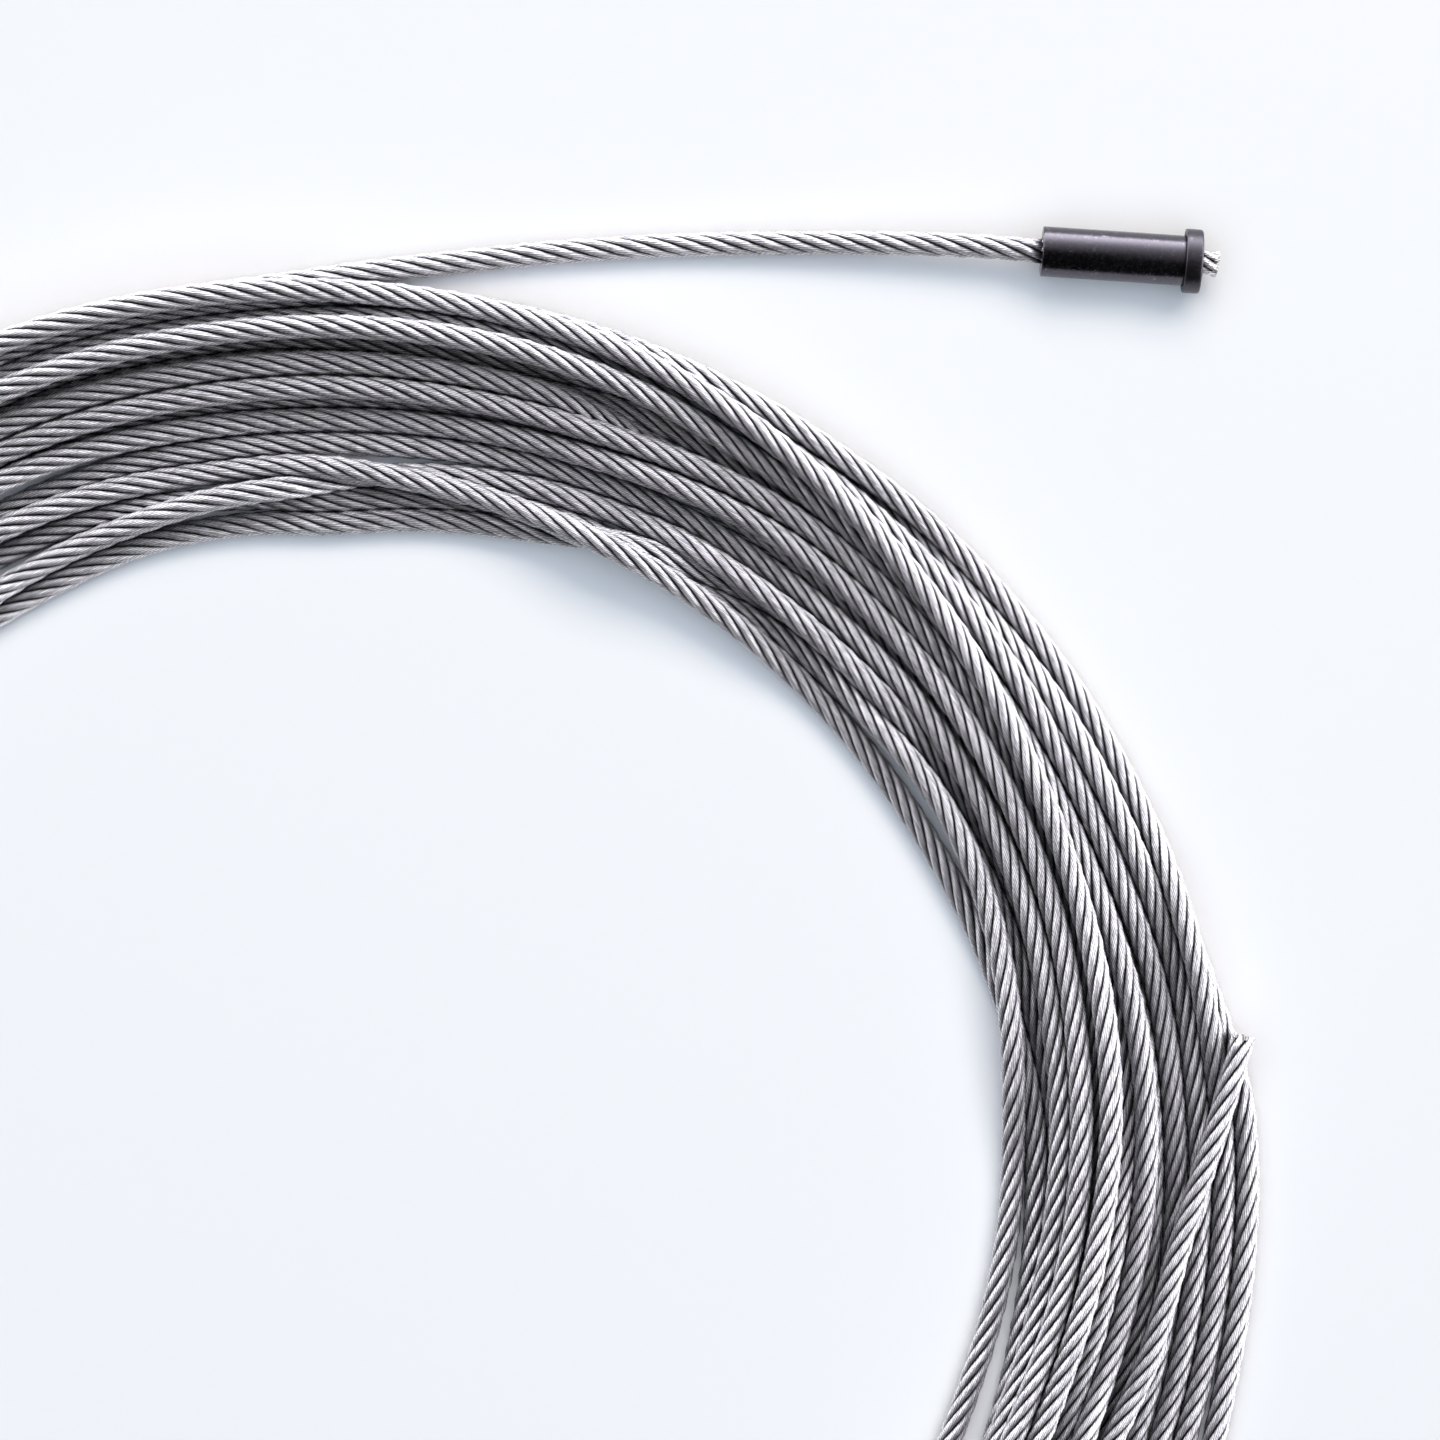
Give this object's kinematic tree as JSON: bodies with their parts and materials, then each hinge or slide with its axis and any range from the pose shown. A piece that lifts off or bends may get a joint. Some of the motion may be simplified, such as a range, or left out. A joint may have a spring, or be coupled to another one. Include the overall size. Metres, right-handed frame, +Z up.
{
  "type": "wire rope coil with flanged stop sleeve",
  "caption": "Flat hand-wound coil of stranded steel wire rope, with a blackened flanged stop sleeve on one end and a bare cut end on the other.",
  "frame": {"origin": "middle of the floor that the whole part covers, on the floor", "axes": "+Z up, out of the flat coil's plane; +Y from the coil towards the lead and its stop sleeve; +X along the lead towards the stop sleeve"},
  "size_m": [0.3511, 0.3729, 0.0172],
  "materials": {
    "steel_wire": "bright drawn steel wire, laid in strands",
    "core_strand": "drawn steel wire, duller inside the rope",
    "blackened_sleeve": "satin black oxide on swaged steel, lightly scuffed",
    "blackened_collar": "satin black oxide on turned steel, worn at the edges"
  },
  "bodies": {
    "root": {"stop_sleeve": "blackened_sleeve", "collar": "blackened_collar", "rope_end_core_strand": "core_strand", "rope_end_strand_1": "steel_wire", "rope_end_strand_2": "steel_wire", "rope_end_strand_3": "steel_wire", "rope_end_strand_4": "steel_wire", "rope_end_strand_5": "steel_wire", "rope_end_strand_6": "steel_wire", "rope_lead": "steel_wire", "rope_coil": "steel_wire", "rope_cut_end": "steel_wire"}
  },
  "joints": []
}
